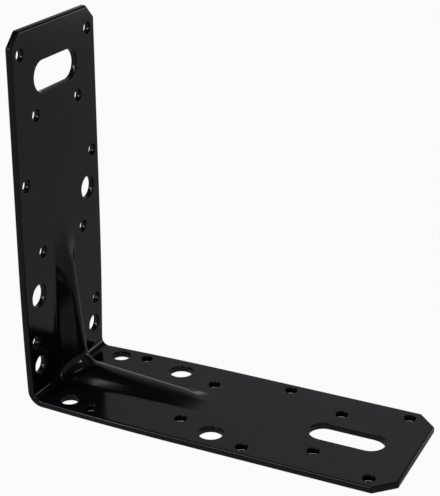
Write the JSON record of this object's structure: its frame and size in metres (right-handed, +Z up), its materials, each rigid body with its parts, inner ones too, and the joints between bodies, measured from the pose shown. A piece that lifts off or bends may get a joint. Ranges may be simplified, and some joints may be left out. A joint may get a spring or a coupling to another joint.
{
  "type": "ribbed angle bracket",
  "caption": "Right-angle bracket folded from steel sheet, with a rib pressed into the fold for stiffness and nail holes, bolt holes and slots for fixing timber to timber.",
  "frame": {"origin": "where the planes of the two outer faces meet, half way across the width", "axes": "+X out along the lying leg, +Z up the standing leg, Y across the width"},
  "size_m": [0.1516, 0.058, 0.15],
  "materials": {
    "black_coat": "glossy black coat over steel sheet"
  },
  "bodies": {
    "root": {"angle_bracket": "black_coat"}
  },
  "joints": []
}
